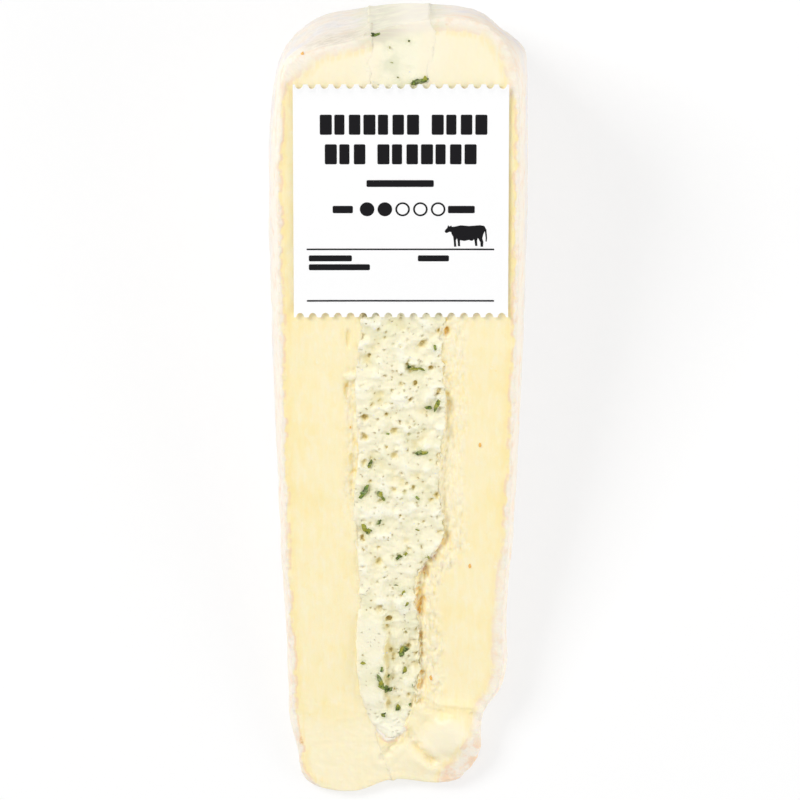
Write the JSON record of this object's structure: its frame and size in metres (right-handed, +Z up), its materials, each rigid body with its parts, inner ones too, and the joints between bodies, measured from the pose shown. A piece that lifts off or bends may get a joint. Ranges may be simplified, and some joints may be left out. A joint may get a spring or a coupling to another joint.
{
  "type": "wedge of stuffed brie",
  "caption": "Long wedge of soft white-rind cheese with a herb cream layer between two halves, lying on one cut face, with a scalloped paper label on the upper one.",
  "frame": {"origin": "middle of the footprint's box, on the lower cut face", "axes": "+Z up from the lower cut face, +Y from the thin tip to the rind at the heel, +X across the wheel's thickness, with the folded tip on the +X side"},
  "size_m": [0.0482, 0.1478, 0.0486],
  "materials": {
    "brie": "soft cheese paste, satin and slightly translucent, with a velvety white rind",
    "herb_cream": "moist cream cheese with pits and chopped green herbs",
    "label_paper": "smooth white label paper with plain black print"
  },
  "bodies": {
    "root": {"brie_half_left": "brie", "brie_half_right": "brie", "herb_filling": "herb_cream", "label": "label_paper"}
  },
  "joints": []
}
